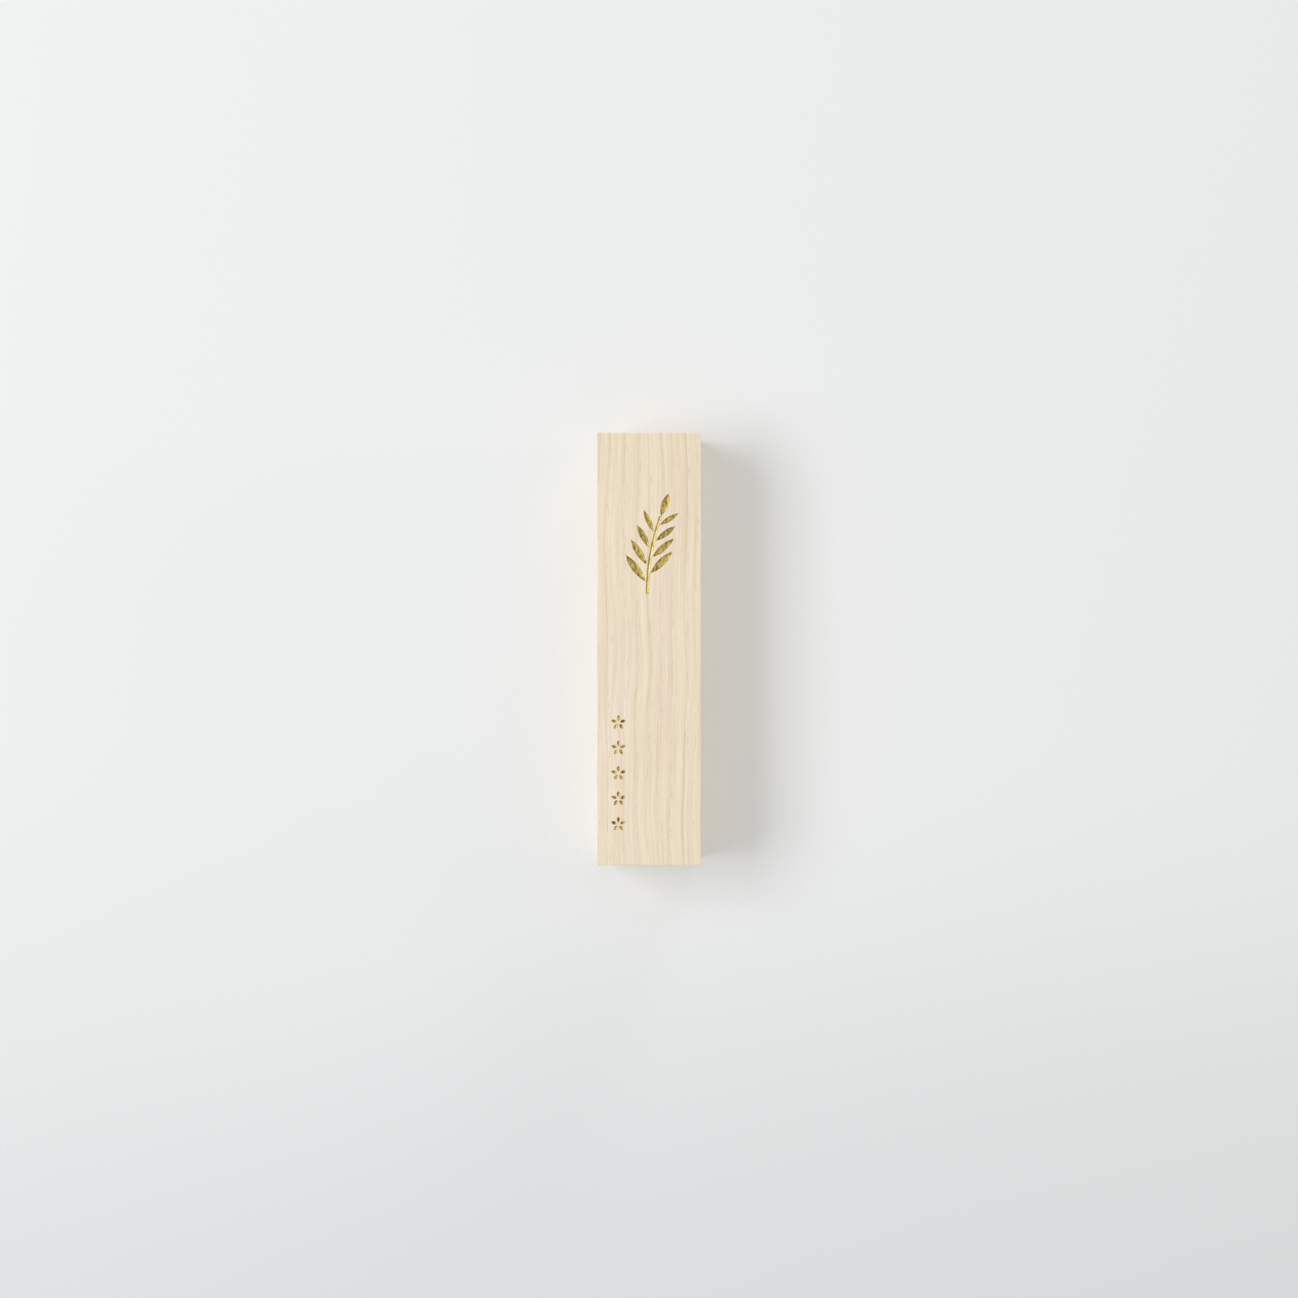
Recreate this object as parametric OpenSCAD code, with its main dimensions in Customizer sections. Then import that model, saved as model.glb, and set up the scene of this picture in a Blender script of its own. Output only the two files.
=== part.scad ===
// Slim paulownia wood box with a lift-off battened lid, gold-stamped on top,
// holding a paper-wrapped packet of incense sticks.
// +Z is up, +Y runs along the box to its far end, +X is to the right,
// and the origin is the centre of the base's underside.
// The box is sized outwards from the sticks that it holds.

/* [Sticks] */
// Diameter of one incense stick
stick_d = 2.4; // [1.8:0.1:3.2]
// Length of one incense stick
stick_l = 135; // [70:1:210]
// Sticks side by side in a full row; every second row has one fewer
row_sticks = 8; // [4:1:9]
// Rows of sticks, one nested on the other
stick_rows = 4; // [1:1:4]
// Space between neighbouring sticks
stick_gap = 0.1; // [0.05:0.05:0.3]

/* [Paper] */
// Thickness of the wrapping paper and of the band
paper_t = 0.3; // [0.1:0.05:0.5]
// Space between the paper and what it wraps or lies on
paper_gap = 0.1; // [0.05:0.05:0.3]
// Length of wrapping paper past each end of the sticks
wrap_overhang = 0.5; // [0.5:0.5:3]
// Width of each flap of paper folded over the top row
wrap_flap = 5; // [2:0.5:9]
// Width of the paper band along the packet
band_w = 20; // [8:1:40]

/* [Box] */
// Thickness of the long side boards
side_t = 5.5; // [4.5:0.5:8]
// Thickness of the end boards
end_t = 5.5; // [3:0.5:8]
// Thickness of the base board
base_t = 4.5; // [3:0.5:8]
// Depth of the rabbet in each side board that houses an end board
rabbet_d = 2.5; // [1:0.5:4]
// Finger room between the band and each side board
side_room = 1.75; // [0.5:0.25:5]
// Room between the wrapping paper and each end board
end_room = 1.5; // [0.5:0.5:5]
// Room between the packet and the battens of the lid
head_room = 5; // [2:0.5:12]
// Width of the eased outer edges
arris = 0.3; // [0.1:0.1:0.8]

/* [Lid] */
// Thickness of the lid board
lid_t = 5; // [3:0.5:8]
// Width of the battens glued under the lid
batten_w = 4.5; // [2.5:0.5:8]
// Depth that the battens reach into the box
batten_h = 4; // [2:0.5:8]
// Play between the battens and the walls
lid_play = 0.4; // [0.2:0.1:0.8]
// Bevel on the lower outer edge of the battens
batten_bevel = 0.8; // [0.2:0.1:1.5]

/* [Gold stamping] */
// Depth of the stamped hollows in the lid
stamp_d = 0.4; // [0.25:0.05:0.6]
// Thickness of the foil that lines the hollows
foil_t = 0.1; // [0.05:0.05:0.15]
// Space between the foil and the wall of its hollow, and from its rim to the lid's face
foil_gap = 0.05; // [0.02:0.01:0.08]
// Length of the leafy sprig along the lid
sprig_l = 35; // [25:1:45]
// Distance from the far edge of the lid to the sprig's tip
sprig_far_gap = 20.8; // [8:0.2:30]
// Position of the foot of the sprig across the lid
sprig_foot_x = -0.6; // [-4:0.2:4]
// Leaves along the stem, below the tip leaf
sprig_leaves = 8; // [4:1:10]
// Length of the lowest leaf
leaf_l = 11; // [7:0.5:12]
// Width of a leaf, as a share of its length
leaf_slim = 0.22; // [0.15:0.01:0.3]
// Number of florets in the column
florets = 5; // [2:1:6]
// Petals of one floret
floret_petals = 5; // [4:1:6]
// Diameter of one floret
floret_d = 5; // [3:0.2:6]
// Distance between neighbouring florets
floret_pitch = 8.8; // [6.4:0.2:12]
// Distance from the left edge of the lid to the column of florets
floret_left_gap = 7.4; // [5:0.2:10]
// Distance from the near edge of the lid to the column of florets
floret_near_gap = 11.8; // [5:0.2:25]

/* [Hidden] */
$fn = 180;

// Bundle of sticks, nested like logs
stick_pitch = stick_d + stick_gap;
row_rise = stick_pitch * sin(60);
bundle_w = row_sticks * stick_pitch - stick_gap;
bundle_h = stick_d + (stick_rows - 1) * row_rise;

// Wrapping paper round the bundle, and the band round the paper
wrap_in_w = bundle_w + 2 * paper_gap;
wrap_in_h = bundle_h + 2 * paper_gap;
wrap_w = wrap_in_w + 2 * paper_t;
wrap_h = wrap_in_h + 2 * paper_t;
wrap_l = stick_l + 2 * wrap_overhang;
band_in_w = wrap_w + 2 * paper_gap;
band_in_h = wrap_h + 2 * paper_gap;
band_out_w = band_in_w + 2 * paper_t;
band_out_h = band_in_h + 2 * paper_t;

// Heights of the packet's layers above the underside of the base
band_z = base_t + paper_gap;
wrap_z = band_z + paper_t + paper_gap;
bundle_z = wrap_z + paper_t + paper_gap;
packet_top = band_z + band_out_h;

// Box round the packet
inner_w = band_out_w + 2 * side_room;
inner_l = wrap_l + 2 * end_room;
box_w = inner_w + 2 * side_t;
box_l = inner_l + 2 * end_t;
batten_z = packet_top + head_room;
wall_top = batten_z + batten_h;
box_h = wall_top + lid_t;

// Frame of battens under the lid, a loose fit between the walls
frame_x = inner_w / 2 - lid_play;
frame_y = inner_l / 2 - lid_play;

// Stamped ornament: a stem that bends on a wide arc, with leaves on alternate sides
stem_w = 0.8;
stem_bend_r = 80;
stem_share = 0.78;
stem_l = stem_share * sprig_l;
tip_leaf_l = sprig_l - stem_l;
stem_turn = stem_l / stem_bend_r * 180 / PI;
leaf_spread = 40;
leaf_taper = 0.35;
leaf_off_stem = 0.5;
first_leaf_share = 0.16;
last_leaf_share = 0.9;
petal_slim = 0.5;
petal_hub_share = 0.14;
stamp_z = box_h - stamp_d;
foil_h = stamp_d - foil_gap;
cut_over = 1;

wood = "#ebdcc3";
gold = "#bb9a45";
washi = "#f3efe4";
band_paper = "#d9c7a0";
incense = "#6b5138";

function row_count(row) = row_sticks - row % 2;

// Places of the sticks' axes, as [x, z], row by row from the bottom
stick_places = [
  for (row = [0:stick_rows - 1])
    for (i = [0:row_count(row) - 1])
      [(i - (row_count(row) - 1) / 2) * stick_pitch, bundle_z + stick_d / 2 + row * row_rise]
];

function stick_name(i) = str("stick_", i < 10 ? "0" : "", i);

// Block between two opposite corners
module block(low, high) {
  translate(low) cube(high - low);
}

// A corner of an outline, cut across where ease is above zero.
// back and ahead point along the outline's edges away from the corner.
function eased_corner(p, back, ahead, ease) = ease > 0 ? [p + ease * back, p + ease * ahead] : [p];

// Rectangle from -half to half and from low to high, with its lower and upper corners eased
function eased_outline(half, low, high, ease_low, ease_high) = concat(
  eased_corner([-half, low], [0, 1], [1, 0], ease_low),
  eased_corner([half, low], [-1, 0], [0, 1], ease_low),
  eased_corner([half, high], [0, -1], [-1, 0], ease_high),
  eased_corner([-half, high], [1, 0], [0, -1], ease_high)
);

// Upright slab centred on the Z axis, with its upright, lower and upper edges eased
module eased_slab(w, l, low, high, ease_upright, ease_low, ease_high) {
  intersection() {
    translate([0, 0, low])
      linear_extrude(high - low)
        polygon(eased_outline(w / 2, -l / 2, l / 2, ease_upright, ease_upright));
    rotate([90, 0, 0])
      linear_extrude(l + 2 * cut_over, center = true)
        polygon(eased_outline(w / 2, low, high, ease_low, ease_high));
    rotate([90, 0, 90])
      linear_extrude(w + 2 * cut_over, center = true)
        polygon(eased_outline(l / 2, low, high, ease_low, ease_high));
  }
}

// Outside of the box below the lid, which every board of the box is trimmed to
module box_envelope() {
  eased_slab(box_w, box_l, 0, wall_top, arris, arris, arris);
}

module base_board() {
  color(wood) intersection() {
    box_envelope();
    block([-box_w / 2, -box_l / 2, 0], [box_w / 2, box_l / 2, base_t]);
  }
}

// Long side board on the +X side, rabbeted at both ends for the end boards
module side_board() {
  intersection() {
    box_envelope();
    difference() {
      block([inner_w / 2, -box_l / 2, base_t], [box_w / 2, box_l / 2, wall_top]);
      for (way = [-1, 1])
        translate([inner_w / 2 + rabbet_d / 2, way * (inner_l / 2 + end_t), wall_top / 2])
          cube([rabbet_d, 2 * end_t, 2 * wall_top], center = true);
    }
  }
}

module left_side_board() {
  color(wood) mirror([1, 0, 0]) side_board();
}

module right_side_board() {
  color(wood) side_board();
}

// End board on the +Y side, housed in the rabbets of both side boards
module end_board() {
  intersection() {
    box_envelope();
    block(
      [-inner_w / 2 - rabbet_d, inner_l / 2, base_t],
      [inner_w / 2 + rabbet_d, box_l / 2, wall_top]
    );
  }
}

module far_end_board() {
  color(wood) end_board();
}

module near_end_board() {
  color(wood) mirror([0, 1, 0]) end_board();
}

module lid_board() {
  color(wood) difference() {
    eased_slab(box_w, box_l, wall_top, box_h, arris, arris, arris);
    translate([0, 0, stamp_z]) {
      sprig(stamp_d + cut_over, 0);
      floret_column(stamp_d + cut_over, 0);
    }
  }
}

// The four battens are one bevelled frame, cut apart along its mitres
module batten_frame() {
  eased_slab(2 * frame_x, 2 * frame_y, batten_z, wall_top, 0, batten_bevel, 0);
}

module mitred(outline) {
  color(wood) intersection() {
    batten_frame();
    translate([0, 0, batten_z]) linear_extrude(batten_h) polygon(outline);
  }
}

module right_batten() {
  mitred([
    [frame_x, -frame_y],
    [frame_x, frame_y],
    [frame_x - batten_w, frame_y - batten_w],
    [frame_x - batten_w, batten_w - frame_y]
  ]);
}

module left_batten() {
  mirror([1, 0, 0]) right_batten();
}

module far_batten() {
  mitred([
    [-frame_x, frame_y],
    [batten_w - frame_x, frame_y - batten_w],
    [frame_x - batten_w, frame_y - batten_w],
    [frame_x, frame_y]
  ]);
}

module near_batten() {
  mirror([0, 1, 0]) far_batten();
}

// Pointed leaf along +Y from the origin: where two discs cross, its edge drawn in by inset
module leaf(length, width, height, inset) {
  edge_r = (length * length + width * width) / (4 * width);
  intersection_for (way = [-1, 1])
    translate([way * (edge_r - width / 2), length / 2, 0])
      cylinder(r = edge_r - inset, h = height);
}

// Moves to the point of the stem at a share of its length, with +Y along the stem
module on_stem(share) {
  turn = share * stem_turn;
  translate([stem_bend_r * (1 - cos(turn)), stem_bend_r * sin(turn), 0])
    rotate([0, 0, -turn])
      children();
}

// Stem on its arc about a centre to its right, from the origin upwards
module stem(height, inset) {
  translate([stem_bend_r, 0, 0])
    intersection() {
      difference() {
        cylinder(r = stem_bend_r + stem_w / 2 - inset, h = height);
        translate([0, 0, -cut_over])
          cylinder(r = stem_bend_r - stem_w / 2 + inset, h = height + 2 * cut_over);
      }
      block(
        [-stem_bend_r - stem_w, inset, -cut_over],
        [0, stem_bend_r * sin(stem_turn) - inset, height + cut_over]
      );
    }
}

module sprig(height, inset) {
  translate([sprig_foot_x, box_l / 2 - sprig_far_gap - sprig_l, 0]) {
    stem(height, inset);
    on_stem(1)
      translate([0, leaf_off_stem, 0])
        leaf(tip_leaf_l, leaf_slim * leaf_l, height, inset);
    for (i = [0:sprig_leaves - 1]) {
      along = i / (sprig_leaves - 1);
      length = leaf_l * (1 - leaf_taper * along);
      way = i % 2 == 0 ? 1 : -1;
      on_stem(first_leaf_share + (last_leaf_share - first_leaf_share) * along)
        translate([-way * (stem_w / 2 + leaf_off_stem), 0, 0])
          rotate([0, 0, way * leaf_spread])
            leaf(length, leaf_slim * length, height, inset);
    }
  }
}

// Petals set round a small bare hub
module floret(height, inset) {
  hub_r = petal_hub_share * floret_d;
  petal_l = floret_d / 2 - hub_r;
  for (i = [0:floret_petals - 1])
    rotate([0, 0, i * 360 / floret_petals])
      translate([0, hub_r, 0])
        leaf(petal_l, petal_slim * petal_l, height, inset);
}

module floret_column(height, inset) {
  for (i = [0:florets - 1])
    translate([
      floret_left_gap - box_w / 2,
      floret_near_gap - box_l / 2 + floret_d / 2 + i * floret_pitch,
      0
    ])
      floret(height, inset);
}

// Foil tray in a hollow: the first child is its outside, and the second is cut out above its floor
module foil_lining() {
  color(gold) translate([0, 0, stamp_z]) difference() {
    children(0);
    translate([0, 0, foil_t]) children(1);
  }
}

module foil_sprig() {
  foil_lining() {
    sprig(foil_h, foil_gap);
    sprig(stamp_d, foil_gap + foil_t);
  }
}

module foil_florets() {
  foil_lining() {
    floret_column(foil_h, foil_gap);
    floret_column(stamp_d, foil_gap + foil_t);
  }
}

// Paper tube along Y with a rectangular section, standing on height z
module paper_tube(w, h, length, z) {
  translate([0, 0, z])
    rotate([90, 0, 0])
      linear_extrude(length, center = true)
        difference() {
          translate([-w / 2, 0]) square([w, h]);
          translate([paper_t - w / 2, paper_t]) square([w - 2 * paper_t, h - 2 * paper_t]);
        }
}

// Sheet folded round the bundle, with a window between its two top flaps
module wrapping_paper() {
  window_w = wrap_in_w - 2 * wrap_flap;
  color(washi) difference() {
    paper_tube(wrap_w, wrap_h, wrap_l, wrap_z);
    translate([0, 0, wrap_z + wrap_h])
      cube([window_w, wrap_l + 2 * cut_over, 4 * paper_t], center = true);
  }
}

module paper_band() {
  color(band_paper) paper_tube(band_out_w, band_out_h, band_w, band_z);
}

module stick(i) {
  place = stick_places[i - 1];
  color(incense)
    translate([place.x, 0, place.y])
      rotate([90, 0, 0])
        cylinder(d = stick_d, h = stick_l, center = true);
}

base_board();
left_side_board();
right_side_board();
far_end_board();
near_end_board();
lid_board();
left_batten();
right_batten();
far_batten();
near_batten();
foil_sprig();
foil_florets();
wrapping_paper();
paper_band();
for (i = [1:len(stick_places)])
  stick(i);
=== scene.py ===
# Looks of the incense box: grained paulownia, stamped gold foil, folded paper and pressed incense sticks.
import math
import random

import bmesh
import bpy
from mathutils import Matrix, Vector, noise

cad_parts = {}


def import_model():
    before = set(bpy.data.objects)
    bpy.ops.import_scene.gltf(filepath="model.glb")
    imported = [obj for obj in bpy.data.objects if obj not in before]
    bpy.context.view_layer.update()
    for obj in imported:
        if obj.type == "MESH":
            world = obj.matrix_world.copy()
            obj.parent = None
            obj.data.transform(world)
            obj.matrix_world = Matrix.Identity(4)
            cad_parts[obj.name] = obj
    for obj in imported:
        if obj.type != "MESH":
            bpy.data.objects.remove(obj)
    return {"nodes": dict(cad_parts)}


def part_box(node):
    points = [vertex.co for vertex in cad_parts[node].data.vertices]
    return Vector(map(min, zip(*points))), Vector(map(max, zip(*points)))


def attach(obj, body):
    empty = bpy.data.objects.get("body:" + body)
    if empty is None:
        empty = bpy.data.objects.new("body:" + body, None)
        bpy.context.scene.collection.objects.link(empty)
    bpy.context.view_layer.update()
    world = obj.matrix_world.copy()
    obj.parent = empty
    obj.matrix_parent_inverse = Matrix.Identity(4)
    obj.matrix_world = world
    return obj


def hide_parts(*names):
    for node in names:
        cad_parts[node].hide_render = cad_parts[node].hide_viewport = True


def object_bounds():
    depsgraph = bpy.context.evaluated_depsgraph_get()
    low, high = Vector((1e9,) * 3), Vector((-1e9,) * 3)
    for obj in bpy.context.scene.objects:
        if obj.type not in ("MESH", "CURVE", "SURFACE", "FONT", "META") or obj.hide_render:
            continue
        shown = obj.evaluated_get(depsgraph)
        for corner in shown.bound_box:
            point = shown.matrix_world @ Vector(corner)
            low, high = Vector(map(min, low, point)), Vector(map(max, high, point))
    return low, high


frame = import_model()
cad_low, cad_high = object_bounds()

MM = 0.001
# Corners of a solid's mesh that lie closer together than this are one corner
WELD_GAP = 0.001 * MM
# The mean of a noise texture, and the span that holds most of it
NOISE_MEAN = 0.5
NOISE_SPAN = (0.3, 0.7)


def linear(red, green, blue):
    """A colour given in 8-bit sRGB levels, as the linear RGBA that a shader takes."""
    shares = [level / 255 for level in (red, green, blue)]
    curve = [s / 12.92 if s <= 0.04045 else ((s + 0.055) / 1.055) ** 2.4 for s in shares]
    return (*curve, 1.0)


class Graph:
    """One material, with short calls that add a node and return its output socket."""

    def __init__(self, name):
        self.material = bpy.data.materials.new(name)
        self.material.use_nodes = True
        self.tree = self.material.node_tree
        self.shader = self.tree.nodes["Principled BSDF"]

    def feed(self, socket, value):
        """Links an input to another node's output, or gives it a constant."""
        if isinstance(value, bpy.types.NodeSocket):
            self.tree.links.new(value, socket)
        else:
            socket.default_value = value

    def add(self, kind, inputs, output=0, **settings):
        """Adds a node with its settings and inputs, and returns one of its outputs."""
        node = self.tree.nodes.new(kind)
        for key, value in settings.items():
            setattr(node, key, value)
        for key, value in inputs.items():
            self.feed(node.inputs[key], value)
        return node.outputs[output]

    def math(self, operation, *values):
        return self.add("ShaderNodeMath", dict(enumerate(values)), operation=operation)

    def vector(self, operation, *values):
        return self.add("ShaderNodeVectorMath", dict(enumerate(values)), operation=operation)

    def spot(self):
        """The place on the piece at rest, in millimetres of the shared frame."""
        place = self.add("ShaderNodeTexCoord", {}, "Object")
        return self.vector("DIVIDE", place, (MM, MM, MM))

    def split(self, vector):
        node = self.tree.nodes.new("ShaderNodeSeparateXYZ")
        self.feed(node.inputs[0], vector)
        return tuple(node.outputs)

    def join(self, x, y, z):
        return self.add("ShaderNodeCombineXYZ", {0: x, 1: y, 2: z})

    def noise(self, spot, lengths, seed, detail=2.0, output=0):
        """Noise with features of these lengths in millimetres. Output 0 is a number and 1 a vector."""
        scaled = self.vector("DIVIDE", spot, lengths)
        moved = self.vector("ADD", scaled, (seed, -seed, 2 * seed))
        return self.add("ShaderNodeTexNoise", {"Vector": moved, "Scale": 1.0, "Detail": detail}, output)

    def remap(self, value, low, high, to_low=0.0, to_high=1.0):
        """Takes low to to_low and high to to_high, smoothly in between and level beyond them."""
        inputs = {0: value, 1: low, 2: high, 3: to_low, 4: to_high}
        return self.add("ShaderNodeMapRange", inputs, interpolation_type="SMOOTHSTEP")

    def ramp(self, value, stops):
        """A grey level that follows the (position, level) stops."""
        socket = self.add("ShaderNodeValToRGB", {0: value})
        elements = socket.node.color_ramp.elements
        while len(elements) < len(stops):
            elements.new(0.5)
        for element, (position, level) in zip(elements, stops):
            element.position = position
            element.color = (level, level, level, 1.0)
        return socket

    def mix(self, share, low, high):
        """A colour between two others. Inputs 6 and 7 and output 2 are the node's sockets for colours."""
        inputs = {0: share, 6: low, 7: high}
        return self.add("ShaderNodeMix", inputs, 2, data_type="RGBA", clamp_factor=True)

    def finish(self, colour, roughness, height=None, relief=0.0, **constants):
        """Feeds the shader. relief is the bump's depth in millimetres. constants feed other sockets."""
        self.feed(self.shader.inputs["Base Color"], colour)
        self.feed(self.shader.inputs["Roughness"], roughness)
        for key, value in constants.items():
            self.shader.inputs[key.replace("_", " ")].default_value = value
        if height is not None:
            bump = self.add("ShaderNodeBump", {"Strength": 1.0, "Distance": relief * MM, "Height": height})
            self.feed(self.shader.inputs["Normal"], bump)
        return self.material


def paint(piece, material):
    piece.data.materials.clear()
    piece.data.materials.append(material)


def skin(form, grid):
    """Joins each line of vertices in the grid to the next one with smooth faces."""
    for line, following in zip(grid, grid[1:]):
        for i in range(len(line) - 1):
            form.faces.new((line[i], line[i + 1], following[i + 1], following[i])).smooth = True


def piece_from(form, name):
    """A new object of the scene with the mesh that was built in form, which is freed."""
    mesh = bpy.data.meshes.new(name)
    form.to_mesh(mesh)
    form.free()
    piece = bpy.data.objects.new(name, mesh)
    bpy.context.scene.collection.objects.link(piece)
    return piece


def thicken(piece, thickness, offset):
    """Gives a sheet its thickness, half on each side at offset 0 and all of it behind the face at -1."""
    body = piece.modifiers.new("thickness", "SOLIDIFY")
    body.thickness = thickness
    body.offset = offset


# Wood

WOOD_STRAW = linear(241, 228, 203)
WOOD_ROSE = linear(241, 226, 207)
WOOD_TAN = linear(213, 191, 159)
WOOD_PORE = linear(192, 167, 131)
RING_MM = 3.9
# A run of good or poor seasons is this long across the rings, and shifts them by up to so many years
SEASON_MM = 13.0
SEASON_YEARS = 2.2
# Full swing of the grain round its straight course, as a whole and from place to place
DRIFT_MM = 8.0
WAVER_MM = 1.4
# Lengths of the features in millimetres: across, along the grain and up
DRIFT_LENGTHS = (60, 75, 60)
WAVER_LENGTHS = (9, 32, 9)
# Lengths of the features in millimetres: out from the pith, along the grain and round the pith
HUE_LENGTHS = (4, 70, 9)
PATCH_LENGTHS = (4, 60, 8)
STREAK_LENGTHS = (1.5, 70, 5)
FIBRE_LENGTHS = (0.45, 40, 1.4)
PORE_LENGTHS = (0.22, 5, 0.26)
# Added to a board's seed, so that these two features don't follow the others
HUE_SEED = 9.0
PATCH_SEED = 4.0
# Darkness through one year's growth, from the porous early wood to the sharp edge of the late wood
RING_STOPS = [(0.0, 0.5), (0.06, 0.36), (0.22, 0.1), (0.5, 0.0), (0.8, 0.22), (0.95, 1.0), (1.0, 0.8)]
# How much each feature darkens the wood. The late wood differs from year to year and along its ring.
LATE_SHARES = (0.25, 0.57)
PATCH_SHARES = (0.45, 1.0)
FIBRE_SHARE = 0.95
STREAK_SHARE = 0.7
PORE_SHARE = 0.4
GROUND_SHARE = 0.14
# The noise at which a pore begins and is full
PORE_SPAN = (0.58, 0.7)
# The part of a year's growth through which the pores thin out, and their strength at its start and end
EARLY_PART = (0.0, 0.5)
EARLY_PORES = (1.0, 0.25)
# The fibres' noise lies mostly within this of its mean, and they stand this high beside a pore's depth
FIBRE_REACH = 0.3
FIBRE_HEIGHT = 0.5
WOOD_RELIEF_MM = 0.03
WOOD_ROUGHNESS = (0.58, 0.72)
SOFT_EDGE = 0.14 * MM
# Edges that turn by less than this stay as they are
SOFT_FROM_DEGREES = 25

# Each board's grain axis, the centre of its tree in millimetres across and up, and a seed
BOARDS = {
    "lid_board": ("Y", (-78.0, -8.0), 1.3),
    "base_board": ("Y", (52.0, 40.0), 2.9),
    "left_side_board": ("Y", (-40.0, 66.0), 4.1),
    "right_side_board": ("Y", (34.0, -52.0), 5.7),
    "far_end_board": ("X", (95.0, -50.0), 6.3),
    "near_end_board": ("X", (-88.0, 74.0), 7.9),
    "left_batten": ("Y", (-30.0, 60.0), 8.2),
    "right_batten": ("Y", (40.0, -30.0), 9.4),
    "far_batten": ("X", (50.0, 10.0), 10.6),
    "near_batten": ("X", (-40.0, 0.0), 11.8),
}


def stray(g, spot, lengths, size, seed):
    """A vector that strays both ways from zero, by up to about half of size."""
    wander = g.noise(spot, lengths, seed, detail=1.0, output=1)
    return g.vector("MULTIPLY", g.vector("SUBTRACT", wander, (NOISE_MEAN,) * 3), (size,) * 3)


def tree_place(g, grain, pith, seed):
    """The radius from the pith, and the place in the tree: out, along the grain and round the pith."""
    x, y, z = g.split(g.spot())
    across, along = (x, y) if grain == "Y" else (y, x)
    board_spot = g.join(across, along, z)
    drift = stray(g, board_spot, DRIFT_LENGTHS, DRIFT_MM, seed)
    waver = stray(g, board_spot, WAVER_LENGTHS, WAVER_MM, seed)
    from_pith = g.vector("SUBTRACT", board_spot, (pith[0], 0.0, pith[1]))
    out_across, _, out_up = g.split(g.vector("ADD", from_pith, g.vector("ADD", drift, waver)))
    radius = g.math("SQRT", g.math("ADD", g.math("POWER", out_across, 2.0), g.math("POWER", out_up, 2.0)))
    # The angle is counted from the board, so that its jump lies behind the pith
    facing = math.atan2(-pith[1], -pith[0])
    section = g.join(out_across, out_up, 0.0)
    turned = g.add("ShaderNodeVectorRotate", {0: section, "Angle": -facing}, rotation_type="Z_AXIS")
    turned_out, turned_side, _ = g.split(turned)
    arc = g.math("MULTIPLY", g.math("ARCTAN2", turned_side, turned_out), math.hypot(*pith))
    return radius, g.join(radius, along, arc)


def paulownia(name, grain, pith, seed):
    """Straight-grained wood that is solid, so that the faces and the end grain of a board agree.

    grain is the axis that the fibres follow, and pith the tree's centre in millimetres across and up.
    """
    g = Graph(name)
    radius, spot = tree_place(g, grain, pith, seed)

    season = g.noise(g.join(radius, 0.0, 0.0), (SEASON_MM, 1, 1), seed, detail=1.0)
    year = g.math("ADD", g.math("DIVIDE", radius, RING_MM), g.math("MULTIPLY", season, SEASON_YEARS))
    phase = g.math("FRACT", year)
    strength = g.add("ShaderNodeTexWhiteNoise", {"W": g.math("FLOOR", year)}, noise_dimensions="1D")
    late = g.math("MULTIPLY", g.ramp(phase, RING_STOPS), g.remap(strength, 0.0, 1.0, *LATE_SHARES))
    patchy = g.noise(spot, PATCH_LENGTHS, seed + PATCH_SEED, detail=1.0)
    late = g.math("MULTIPLY", late, g.remap(patchy, *NOISE_SPAN, *PATCH_SHARES))

    fibre = g.math("SUBTRACT", g.noise(spot, FIBRE_LENGTHS, seed, detail=3.0), NOISE_MEAN)
    streak = g.math("SUBTRACT", g.noise(spot, STREAK_LENGTHS, seed, detail=2.0), NOISE_MEAN)
    pores = g.remap(g.noise(spot, PORE_LENGTHS, seed, detail=1.0), *PORE_SPAN)
    pores = g.math("MULTIPLY", pores, g.remap(phase, *EARLY_PART, *EARLY_PORES))

    hue = g.remap(g.noise(spot, HUE_LENGTHS, seed + HUE_SEED, detail=2.0), *NOISE_SPAN)
    pale = g.mix(hue, WOOD_STRAW, WOOD_ROSE)
    tone = g.math("ADD", late, g.math("MULTIPLY", fibre, FIBRE_SHARE))
    tone = g.math("ADD", tone, g.math("MULTIPLY", streak, STREAK_SHARE))
    colour = g.mix(g.math("ADD", tone, GROUND_SHARE), pale, WOOD_TAN)
    colour = g.mix(g.math("MULTIPLY", pores, PORE_SHARE), colour, WOOD_PORE)
    roughness = g.remap(fibre, -FIBRE_REACH, FIBRE_REACH, *WOOD_ROUGHNESS)
    height = g.math("SUBTRACT", g.math("MULTIPLY", fibre, FIBRE_HEIGHT), pores)
    return g.finish(colour, roughness, height, WOOD_RELIEF_MM, Specular_IOR_Level=0.3)


def soften(piece):
    """Rounds the sharp edges of a solid from the frame by a hair, with modifiers alone."""
    weld = piece.modifiers.new("joined_corners", "WELD")
    weld.merge_threshold = WELD_GAP
    bevel = piece.modifiers.new("soft_edges", "BEVEL")
    bevel.width = SOFT_EDGE
    bevel.segments = 2
    bevel.limit_method = "ANGLE"
    bevel.angle_limit = math.radians(SOFT_FROM_DEGREES)
    piece.modifiers.new("flat_faces", "WEIGHTED_NORMAL")


for board, (grain, pith, seed) in BOARDS.items():
    paint(frame["nodes"][board], paulownia("paulownia_" + board, grain, pith, seed))
    # The lid keeps its edges, because softening draws lines round the stamped hollows
    if board != "lid_board":
        soften(frame["nodes"][board])


# Gold foil

GOLD_BRIGHT = linear(204, 181, 108)
GOLD_DEEP = linear(132, 109, 48)
GOLD_WORN = linear(92, 71, 29)
# Lengths of the features in millimetres: across, along the lid's grain and up
MOTTLE_LENGTHS = (0.8, 2.0, 0.8)
WEAR_LENGTHS = (0.25, 3.0, 0.25)
MOTTLE_SEED = 3.1
WEAR_SEED = 5.3
# The noise at which the gold is deepest and at which it is brightest
MOTTLE_SPAN = (0.3, 0.65)
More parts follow.
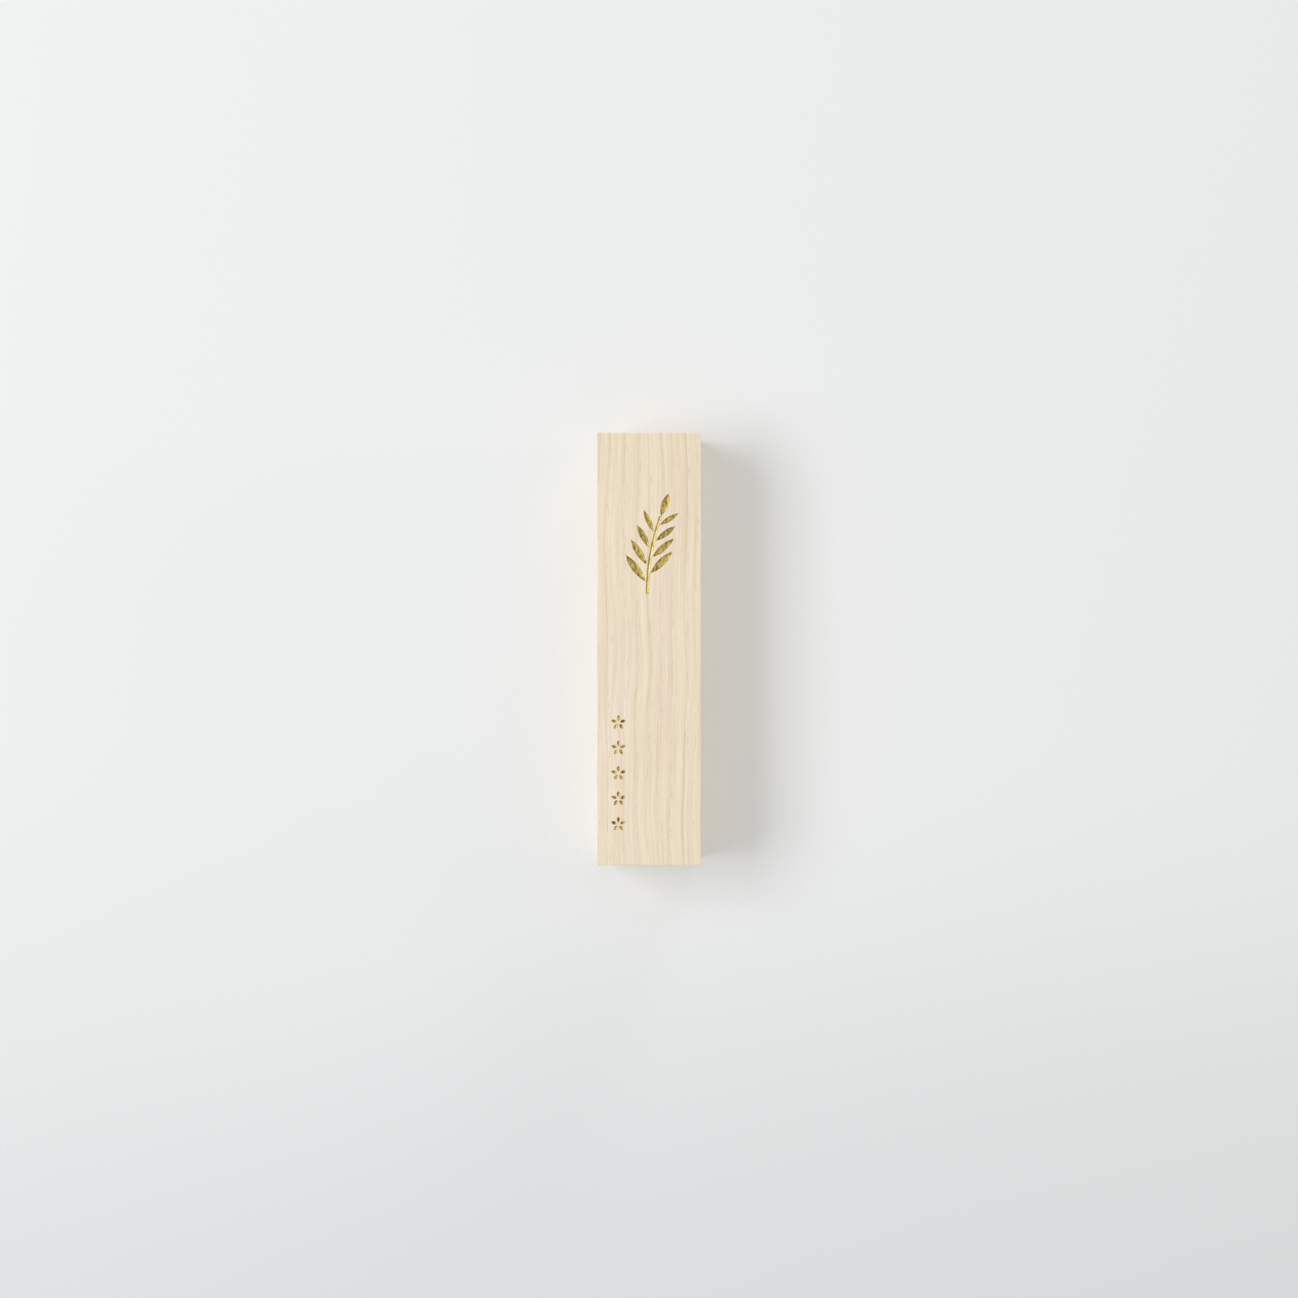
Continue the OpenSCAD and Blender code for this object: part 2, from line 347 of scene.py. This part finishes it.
# The noise at which the foil of each stamp begins to wear, how much more wears it fully, and how much
# that darkens it
SPRIG_WEAR = 0.58
FLORET_WEAR = 0.48
WEAR_FADE = 0.14
WEAR_SHARE = 0.8
FOIL_ROUGHNESS = (0.26, 0.44)
FOIL_RELIEF_MM = 0.03

FOIL_T = 0.02 * MM
# How far the top of the foil's lip lies above the lid
FOIL_RISE = 0.03 * MM
FOIL_DEPTH = 0.36 * MM
FOIL_SHOULDER = 0.3 * MM
FOIL_LIP = 0.15 * MM
FOIL_FLAT_LIP = 0.1 * MM
# Share of the lip that is left at the very tip of a pointed end
TIP_LIP = 0.05
# Places on a shape as shares of its length: as near an end as its width is read, where a blunt end
# shows, and where the slant of a pointed one is read
END_SHARE = 0.002
BLUNT_SHARE = 0.02
SLANT_SHARE = 0.04
DISH_ROW = 0.3 * MM
DISH_LEAST_ROWS = 12
DISH_COLUMNS = 14
# Corners that lie within this of a solid's lowest one belong to its foot
FOOT_SLACK = 0.01 * MM
# An edge that gains less than this along a shape's axis lies square to it
LEAST_GAIN = 1e-9


def gold_foil(name, worn_from):
    """Stamped foil, mottled by the wood under it, and worn thin where the wear passes worn_from."""
    g = Graph(name)
    spot = g.spot()
    mottle = g.noise(spot, MOTTLE_LENGTHS, MOTTLE_SEED, detail=3.0)
    wear = g.noise(spot, WEAR_LENGTHS, WEAR_SEED, detail=2.0)
    colour = g.mix(g.remap(mottle, *MOTTLE_SPAN), GOLD_DEEP, GOLD_BRIGHT)
    colour = g.mix(g.remap(wear, worn_from, worn_from + WEAR_FADE, 0.0, WEAR_SHARE), colour, GOLD_WORN)
    roughness = g.remap(mottle, *NOISE_SPAN, *FOIL_ROUGHNESS)
    return g.finish(colour, roughness, wear, FOIL_RELIEF_MM, Metallic=1.0)


def islands(mesh):
    """The separate shapes of a mesh, each as the edges of its solid's foot in X and Y."""
    form = bmesh.new()
    form.from_mesh(mesh)
    bmesh.ops.remove_doubles(form, verts=form.verts, dist=WELD_GAP)
    form.verts.index_update()
    seen = set()
    shapes = []
    for first in form.verts:
        if first.index in seen:
            continue
        seen.add(first.index)
        grown = [first]
        for vert in grown:
            near = [edge.other_vert(vert) for edge in vert.link_edges]
            near = [other for other in near if other.index not in seen]
            seen.update(other.index for other in near)
            grown += near
        low = min(vert.co.z for vert in grown) + FOOT_SLACK
        foot = [vert for vert in grown if vert.co.z < low]
        edges = [(a, b) for a in foot for b in (edge.other_vert(a) for edge in a.link_edges)]
        shapes.append([(a.co.xy, b.co.xy) for a, b in edges if a.index < b.index and b.co.z < low])
    form.free()
    return shapes


def extent(edges, start, along, side, travel):
    """Lowest and highest sideways offset of a shape at a distance along its axis."""
    offsets = []
    for ends in edges:
        (t0, o0), (t1, o1) = [((end - start).dot(along), (end - start).dot(side)) for end in ends]
        if min(t0, t1) <= travel <= max(t0, t1) and abs(t1 - t0) > LEAST_GAIN:
            offsets.append(o0 + (o1 - o0) * (travel - t0) / (t1 - t0))
    return min(offsets), max(offsets)


def dish(form, edges, top):
    """Adds a pressed trough to form that fills one shape and laps over its rim."""
    points = [end for ends in edges for end in ends]
    start, end = max(((a, b) for a in points for b in points), key=lambda pair: (pair[1] - pair[0]).length)
    length = (end - start).length
    along = (end - start).normalized()
    side = Vector((-along.y, along.x))

    def width(travel):
        """Middle and half width of the shape at a distance along its axis."""
        place = min(max(travel, END_SHARE * length), (1 - END_SHARE) * length)
        low, high = extent(edges, start, along, side, place)
        return 0.5 * (low + high), 0.5 * (high - low)

    # A pointed end laps further out than a blunt one, by the mitre of its two sides
    blunt = width(BLUNT_SHARE * length)[1] > FOIL_LIP
    slant = SLANT_SHARE * length
    mitre = 1.0 if blunt else 1.0 / math.sin(math.atan2(width(slant)[1], slant))
    over = FOIL_LIP * mitre
    press = min(FOIL_DEPTH, 0.5 * width(0.5 * length)[1])
    rows = max(DISH_LEAST_ROWS, math.ceil(length / DISH_ROW))
    grid = []
    for row in range(rows + 1):
        travel = (length + 2 * over) * (0.5 - 0.5 * math.cos(math.pi * row / rows)) - over
        middle, half = width(travel)
        beyond = max(-travel, travel - length, 0.0)
        half += FOIL_LIP * (1.0 if blunt else max(1.0 - beyond / over, TIP_LIP))
        to_end = (min(travel, length - travel) + over) / mitre
        line = []
        for column in range(DISH_COLUMNS + 1):
            share = math.sin(math.pi * (column / DISH_COLUMNS - 0.5))
            inside = min(half * (1 - abs(share)), to_end)
            sink = min(max((inside - FOIL_FLAT_LIP) / FOIL_SHOULDER, 0.0), 1.0)
            depth = press * sink * sink * (3 - 2 * sink)
            spot = start + along * travel + side * (middle + half * share)
            line.append(form.verts.new((spot.x, spot.y, top - depth)))
        grid.append(line)
    skin(form, grid)


def pressed_foil(name, node, material):
    """Foil pressed into the hollows that a node of the frame lines."""
    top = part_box("lid_board")[1].z + FOIL_RISE
    form = bmesh.new()
    for edges in islands(frame["nodes"][node].data):
        dish(form, edges, top)
    bmesh.ops.recalc_face_normals(form, faces=form.faces)
    piece = piece_from(form, name)
    thicken(piece, FOIL_T, -1.0)
    paint(piece, material)
    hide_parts(node)
    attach(piece, "lid")


pressed_foil("pressed_sprig", "foil_sprig", gold_foil("gold_foil", SPRIG_WEAR))
pressed_foil("pressed_florets", "foil_florets", gold_foil("gold_foil_fine", FLORET_WEAR))


# Paper

WASHI = linear(243, 239, 228)
WASHI_FIBRE = linear(226, 217, 196)
WASHI_SEED = 2.2
BAND_STRAW = linear(217, 199, 158)
BAND_FIBRE = linear(192, 168, 118)
BAND_LINE = linear(150, 112, 58)
BAND_SEED = 8.3
# How far in from the band's edge its line lies, and how far from its middle it starts to fade and is gone
BAND_LINE_MM = 1.6
BAND_LINE_FADE_MM = (0.2, 0.28)
# Size in millimetres of the curls of each set of fibres, and what is added to the paper's seed for it
THREADS = ((4.0, 0.0), (2.6, 3.0))
# How far one noise is from its mean where a fibre starts to fade and is gone
THREAD_SPAN = (0.003, 0.013)
# The level of another noise at which a fibre is broken off and at which it is whole
THREAD_KEPT = (0.5, 0.62)
THREAD_KEPT_SEED = 7.0
THREAD_SHARE = 0.6
CLOUD_MM = 3.5
CLOUD_SPAN = (0.3, 0.75)
CLOUD_SHARE = 0.35
PAPER_RELIEF_MM = 0.02

PAPER_T = 0.12 * MM
FOLD_R = 0.6 * MM
FOLD_STEPS = 5
PAPER_GRID = 1.5 * MM
# Height of each paper's slight wave, and the length of all waves
WRAPPING_WAVE = 0.05 * MM
BAND_WAVE = 0.02 * MM
WAVE_LENGTH = 9 * MM
# Depth of the rough free edges, and the length of their teeth
DECKLE = 0.2 * MM
DECKLE_LENGTH = 1.7 * MM
# Half of the band's lap, and where its outer and inner end lie in the thickness of the CAD band
BAND_HALF_LAP = 4 * MM
BAND_OUTER_SHARE = 0.3
BAND_INNER_SHARE = 0.75


def threads(g, spot, size, seed):
    """Thin curling lines that break off, as long plant fibres do in handmade paper."""
    lengths = (size, size, size)
    wander = g.noise(spot, lengths, seed, detail=1.0)
    off_line = g.math("ABSOLUTE", g.math("SUBTRACT", wander, NOISE_MEAN))
    kept = g.noise(spot, lengths, seed + THREAD_KEPT_SEED, detail=0.0)
    return g.math("MULTIPLY", g.remap(off_line, *THREAD_SPAN, 1.0, 0.0), g.remap(kept, *THREAD_KEPT))


def paper(name, ground, fibre_colour, seed):
    """Soft paper with long fibres in it. Returns the graph, its colour and the fibres, to add to."""
    g = Graph(name)
    spot = g.spot()
    fibres = g.math("MAXIMUM", *[threads(g, spot, size, seed + added) for size, added in THREADS])
    cloud = g.noise(spot, (CLOUD_MM, CLOUD_MM, CLOUD_MM), seed, detail=4.0)
    cloudy = g.remap(cloud, *CLOUD_SPAN, 0.0, CLOUD_SHARE)
    share = g.math("ADD", g.math("MULTIPLY", fibres, THREAD_SHARE), cloudy)
    return g, g.mix(share, ground, fibre_colour), fibres


def washi_paper():
    g, colour, fibres = paper("washi", WASHI, WASHI_FIBRE, WASHI_SEED)
    return g.finish(colour, roughness=0.85, height=fibres, relief=PAPER_RELIEF_MM, Specular_IOR_Level=0.2)


def band_paper(half_width):
    """Straw paper with a thin printed line along each edge."""
    g, colour, fibres = paper("band_paper", BAND_STRAW, BAND_FIBRE, BAND_SEED)
    _, along, _ = g.split(g.spot())
    line_at = half_width / MM - BAND_LINE_MM
    from_line = g.math("ABSOLUTE", g.math("SUBTRACT", g.math("ABSOLUTE", along), line_at))
    line = g.remap(from_line, *BAND_LINE_FADE_MM, 1.0, 0.0)
    colour = g.mix(line, colour, BAND_LINE)
    return g.finish(colour, roughness=0.8, height=fibres, relief=PAPER_RELIEF_MM, Specular_IOR_Level=0.25)


def rounded(corners, radius):
    """A path of 2-D points whose inner corners are rounded by arcs."""
    path = [Vector(corners[0])]
    for before, corner, after in zip(corners, corners[1:], corners[2:]):
        corner = Vector(corner)
        back = (Vector(before) - corner).normalized()
        ahead = (Vector(after) - corner).normalized()
        for step in range(FOLD_STEPS + 1):
            turn = step / FOLD_STEPS * math.pi / 2
            path.append(corner + radius * (back * (1 - math.sin(turn)) + ahead * (1 - math.cos(turn))))
    path.append(Vector(corners[-1]))
    return path


def spaced(path, gap):
    """The path with points added, so that none lie further apart than gap."""
    dense = [path[0]]
    for start, end in zip(path, path[1:]):
        count = max(1, math.ceil((end - start).length / gap))
        dense += [start.lerp(end, i / count) for i in range(1, count + 1)]
    return dense


def folded_sheet(name, corners, low_y, high_y, wave):
    """Paper folded along a path in X and Z, from low_y to high_y. Returns it and the length of its path."""
    path = spaced(rounded(corners, FOLD_R), PAPER_GRID)
    rows = math.ceil((high_y - low_y) / PAPER_GRID)
    form = bmesh.new()
    grid = []
    for row in range(rows + 1):
        y = low_y + (high_y - low_y) * row / rows
        line = []
        for i, point in enumerate(path):
            ahead = path[min(i + 1, len(path) - 1)] - path[max(i - 1, 0)]
            normal = Vector((ahead.y, -ahead.x)).normalized()
            push = wave * noise.noise(Vector((point.x, y, point.y)) / WAVE_LENGTH)
            spot = point + normal * push
            if i in (0, len(path) - 1):
                ragged = noise.noise(Vector((point.x / MM, y / DECKLE_LENGTH, 0)))
                spot += ahead.normalized() * DECKLE * ragged
            line.append(form.verts.new((spot.x, y, spot.y)))
        grid.append(line)
    skin(form, grid)
    piece = piece_from(form, name)
    thicken(piece, PAPER_T, 0.0)
    length = sum((b - a).length for a, b in zip(path, path[1:]))
    return piece, length


def paper_wall(node):
    """Thickness that the frame gives a paper solid: the gap between its two lowest levels."""
    levels = sorted({round(v.co.z / MM, 3) for v in frame["nodes"][node].data.vertices})
    return (levels[1] - levels[0]) * MM


def wrapping():
    """Washi folded under and round the sticks, its two flaps meeting the top row from either side."""
    low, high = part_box("wrapping_paper")
    wall = paper_wall("wrapping_paper")
    middle = 0.5 * (high.x - low.x - wall)
    under = low.z + 0.5 * wall
    over = high.z - 0.5 * wall
    vertices = frame["nodes"]["wrapping_paper"].data.vertices
    flap = min(abs(vert.co.x) for vert in vertices if vert.co.z > over)
    left = [(-flap, over), (-middle, over), (-middle, under)]
    corners = left + [(-x, z) for x, z in reversed(left)]
    piece, width = folded_sheet("wrapping_sheet", corners, low.y, high.y, WRAPPING_WAVE)
    paint(piece, washi_paper())
    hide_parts("wrapping_paper")
    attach(piece, "packet")


def banding():
    """Band pasted into a loop round the wrapping, its ends lapped underneath."""
    low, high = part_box("paper_band")
    wall = paper_wall("paper_band")
    side = high.x - 0.5 * wall
    over = high.z - 0.5 * wall
    outer = low.z + BAND_OUTER_SHARE * wall
    inner = low.z + BAND_INNER_SHARE * wall
    lap = BAND_HALF_LAP
    corners = [(-lap, inner), (side, inner), (side, over), (-side, over), (-side, outer), (lap, outer)]
    piece, length = folded_sheet("band_loop", corners, low.y, high.y, BAND_WAVE)
    paint(piece, band_paper(high.y))
    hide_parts("paper_band")
    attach(piece, "band")


wrapping()
banding()


# Incense sticks

INCENSE = linear(112, 86, 58)
INCENSE_DARK = linear(74, 54, 36)
INCENSE_PALE = linear(148, 120, 84)
# Lengths of the features in millimetres: across, along the stick and up. A lot is one stick's own tone.
DRAWN_LENGTHS = (0.18, 8.0, 0.18)
DARK_LENGTHS = (0.22, 0.35, 0.22)
PALE_LENGTHS = (0.16, 0.3, 0.16)
LOT_LENGTHS = (2.5, 90, 2.5)
DRAWN_SEED = 1.7
DARK_SEED = 4.4
PALE_SEED = 9.1
LOT_SEED = 6.8
# The noise at which a speck begins and is full, and how strongly it shows
DARK_SPAN = (0.58, 0.7)
PALE_SPAN = (0.64, 0.74)
SPECK_SHARE = 0.5
LOT_SHARE = 0.45
# Height of a dark speck beside that of the drawn lines
SPECK_HEIGHT = -0.4
INCENSE_RELIEF_MM = 0.03

STICKS = [name for name in frame["nodes"] if name.startswith("stick_")]
STICK_SEED = 7
STICK_SIDES = 20
STICK_RINGS = 30
# How much shorter than its solid a stick may be at each end
STICK_TRIM = 0.5 * MM
# Size of the rubbed ends, and a point of their rounding as shares of it: in from the end and off the radius
STICK_RUB = 0.22 * MM
RUB_IN = 0.3
RUB_OFF = 0.35
# How far a stick strays from its axis, and over what length
STICK_BEND = 0.03 * MM
BEND_LENGTH = 50 * MM
# How much a stick's radius swells and shrinks as a share, and over what length
STICK_SWELL = 0.015
SWELL_LENGTH = 6 * MM
# Stretch of noise from which each stick draws its own place
NOISE_ROOM = 100


def incense():
    """Pressed wood powder: fine drawn lines along the stick, with dark and pale specks."""
    g = Graph("incense")
    spot = g.spot()
    drawn = g.noise(spot, DRAWN_LENGTHS, DRAWN_SEED, detail=2.0)
    dark = g.remap(g.noise(spot, DARK_LENGTHS, DARK_SEED, detail=1.0), *DARK_SPAN)
    pale = g.remap(g.noise(spot, PALE_LENGTHS, PALE_SEED, detail=1.0), *PALE_SPAN)
    lot = g.noise(spot, LOT_LENGTHS, LOT_SEED, detail=0.0)
    ground = g.mix(g.remap(lot, *NOISE_SPAN, 0.0, LOT_SHARE), INCENSE, INCENSE_DARK)
    colour = g.mix(g.math("MULTIPLY", dark, SPECK_SHARE), ground, INCENSE_DARK)
    colour = g.mix(g.math("MULTIPLY", pale, SPECK_SHARE), colour, INCENSE_PALE)
    height = g.math("ADD", drawn, g.math("MULTIPLY", dark, SPECK_HEIGHT))
    return g.finish(
        colour, roughness=0.88, height=height, relief=INCENSE_RELIEF_MM, Specular_IOR_Level=0.25
    )


def stick_rings(near, far, radius):
    """Place along the stick and radius of each of its rings, with rubbed ends."""
    rub = STICK_RUB
    body = far - near - 2 * rub
    rings = [(near, radius - rub), (near + RUB_IN * rub, radius - RUB_OFF * rub)]
    rings += [(near + rub + body * i / STICK_RINGS, radius) for i in range(STICK_RINGS + 1)]
    rings += [(far - RUB_IN * rub, radius - RUB_OFF * rub), (far, radius - rub)]
    return rings


def stick(name, material, rng):
    """A stick that is a little uneven and not quite straight, with rubbed ends."""
    low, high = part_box(name)
    axis = (low + high) / 2
    near = low.y + rng.uniform(0, STICK_TRIM)
    far = high.y - rng.uniform(0, STICK_TRIM)
    phase = rng.uniform(0, NOISE_ROOM)
    form = bmesh.new()
    loops = []
    for y, radius in stick_rings(near, far, 0.5 * (high.x - low.x)):
        bend_x = STICK_BEND * noise.noise((phase, y / BEND_LENGTH, 0))
        bend_z = STICK_BEND * noise.noise((0, y / BEND_LENGTH, phase))
        swell = 1 - STICK_SWELL + STICK_SWELL * noise.noise((phase, y / SWELL_LENGTH, phase))
        loop = []
        for i in range(STICK_SIDES):
            turn = 2 * math.pi * i / STICK_SIDES
            x = axis.x + bend_x + swell * radius * math.cos(turn)
            z = axis.z + bend_z + swell * radius * math.sin(turn)
            loop.append(form.verts.new((x, y, z)))
        loops.append(loop)
    for loop, following in zip(loops, loops[1:]):
        for i in range(STICK_SIDES):
            after = (i + 1) % STICK_SIDES
            form.faces.new((loop[i], following[i], following[after], loop[after])).smooth = True
    form.faces.new(loops[0])
    form.faces.new(reversed(loops[-1]))
    piece = piece_from(form, "incense_" + name)
    paint(piece, material)
    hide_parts(name)
    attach(piece, "packet")


incense_material = incense()
rng = random.Random(STICK_SEED)
for name in STICKS:
    stick(name, incense_material, rng)


# Floor, light and camera

FLOOR_PALE = linear(236, 238, 239)
# The floor's painted shade: darker to the left and to the near side, standing in for the light's falloff
FLOOR_PAINTED_SHADE_LEFT = linear(235, 237, 237)
FLOOR_PAINTED_SHADE_NEAR = linear(221, 223, 225)
FLOOR_SIZE = 1.8
# Where the floor's painted shade lies, to the left in X and near in Y, and how far from the box it fades
# out
FLOOR_PAINTED_SHADE_LEFT_MM = (-240.0, -60.0)
FLOOR_PAINTED_SHADE_NEAR_MM = (-260.0, -30.0)
FLOOR_FADE_MM = (320.0, 800.0)
WHITE = (1.0, 1.0, 1.0)
CREAM = (1.0, 0.88, 0.66)
# Each light's azimuth and elevation in degrees, its distance, width and height in metres, its power in
# watts and its colour
LIGHTS = {
    "key": (174, 42, 2.5, 2.4, 1.4, 35.7, WHITE),
    "right_card": (10, 6, 2.0, 0.7, 0.7, 11.0, CREAM),
    "far_fill": (70, 8, 2.0, 0.7, 0.7, 7.2, WHITE),
    "near_fill": (270, 5, 2.0, 0.7, 0.7, 3.6, WHITE),
}
# Strength of the light from all round, as it lights things and as it is seen
ROOM_LIGHT = 0.594
ROOM_SEEN = 0.84
PHOTO_PX = 1298
LID_LENGTH_PX = 433
# How much smaller the base looks than the lid from straight above
BASE_TO_LID = 0.965
SENSOR_MM = 36.0


def floor():
    """White sheet with painted shade to the near side and slightly left, that fades out far from the box.
    """
    g = Graph("white_sheet")
    spot = g.spot()
    x, y, _ = g.split(spot)
    # Painted shade: the floor darkens to the left and to the near side, in place of light that falls off
    # there
    colour = g.mix(g.remap(x, *FLOOR_PAINTED_SHADE_LEFT_MM), FLOOR_PAINTED_SHADE_LEFT, FLOOR_PALE)
    colour = g.mix(g.remap(y, *FLOOR_PAINTED_SHADE_NEAR_MM), FLOOR_PAINTED_SHADE_NEAR, colour)
    from_box = g.add("ShaderNodeVectorMath", {0: spot}, 1, operation="LENGTH")
    g.feed(g.shader.inputs["Alpha"], g.remap(from_box, *FLOOR_FADE_MM, 1.0, 0.0))
    material = g.finish(colour, roughness=0.9, Specular_IOR_Level=0.1)
    bpy.ops.mesh.primitive_plane_add(size=FLOOR_SIZE, location=(0, 0, cad_low.z))
    sheet = bpy.context.object
    sheet.name = "floor"
    paint(sheet, material)


def panel(name, azimuth, elevation, distance, width, height, power, colour):
    """An oval soft light that faces the box. Azimuth is counted from +X towards +Y."""
    turn, rise = math.radians(azimuth), math.radians(elevation)
    out = Vector((math.cos(turn) * math.cos(rise), math.sin(turn) * math.cos(rise), math.sin(rise)))
    light = bpy.data.lights.new(name, "AREA")
    light.shape = "ELLIPSE"
    light.size = width
    light.size_y = height
    light.energy = power
    light.color = colour
    lamp = bpy.data.objects.new(name, light)
    lamp.location = out * distance
    lamp.rotation_mode = "QUATERNION"
    lamp.rotation_quaternion = (-out).to_track_quat("-Z", "Y")
    lamp.visible_camera = False
    bpy.context.scene.collection.objects.link(lamp)


def world(strength, seen_strength):
    """Even light from all round. What is seen of it, straight or mirrored, is as pale as the floor."""
    room = bpy.data.worlds.new("soft_room")
    bpy.context.scene.world = room
    room.use_nodes = True
    nodes, links = room.node_tree.nodes, room.node_tree.links
    background = nodes["Background"]
    background.inputs["Color"].default_value = (*WHITE, 1.0)
    path = nodes.new("ShaderNodeLightPath")
    seen = path.outputs["Is Camera Ray"]
    for ray in ("Is Glossy Ray", "Is Transmission Ray"):
        either = nodes.new("ShaderNodeMath")
        either.operation = "MAXIMUM"
        links.new(seen, either.inputs[0])
        links.new(path.outputs[ray], either.inputs[1])
        seen = either.outputs[0]
    level = nodes.new("ShaderNodeMapRange")
    level.inputs["To Min"].default_value = strength
    level.inputs["To Max"].default_value = seen_strength
    links.new(seen, level.inputs["Value"])
    links.new(level.outputs[0], background.inputs["Strength"])


def camera():
    """Straight above the lid's centre, at the distance that gives the base its share of the lid's size."""
    lid_low, lid_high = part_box("lid_board")
    height = lid_high.z - cad_low.z
    distance = height * BASE_TO_LID / (1 - BASE_TO_LID)
    view_span = (lid_high.y - lid_low.y) * PHOTO_PX / LID_LENGTH_PX
    eye = bpy.data.objects.new("camera", bpy.data.cameras.new("camera"))
    eye.location = (0, 0, lid_high.z + distance)
    eye.data.sensor_width = SENSOR_MM
    eye.data.lens = SENSOR_MM * distance / view_span
    bpy.context.scene.collection.objects.link(eye)
    bpy.context.scene.camera = eye


floor()
for name, settings in LIGHTS.items():
    panel(name, *settings)
world(ROOM_LIGHT, ROOM_SEEN)
camera()
bpy.context.scene.view_settings.view_transform = "Standard"
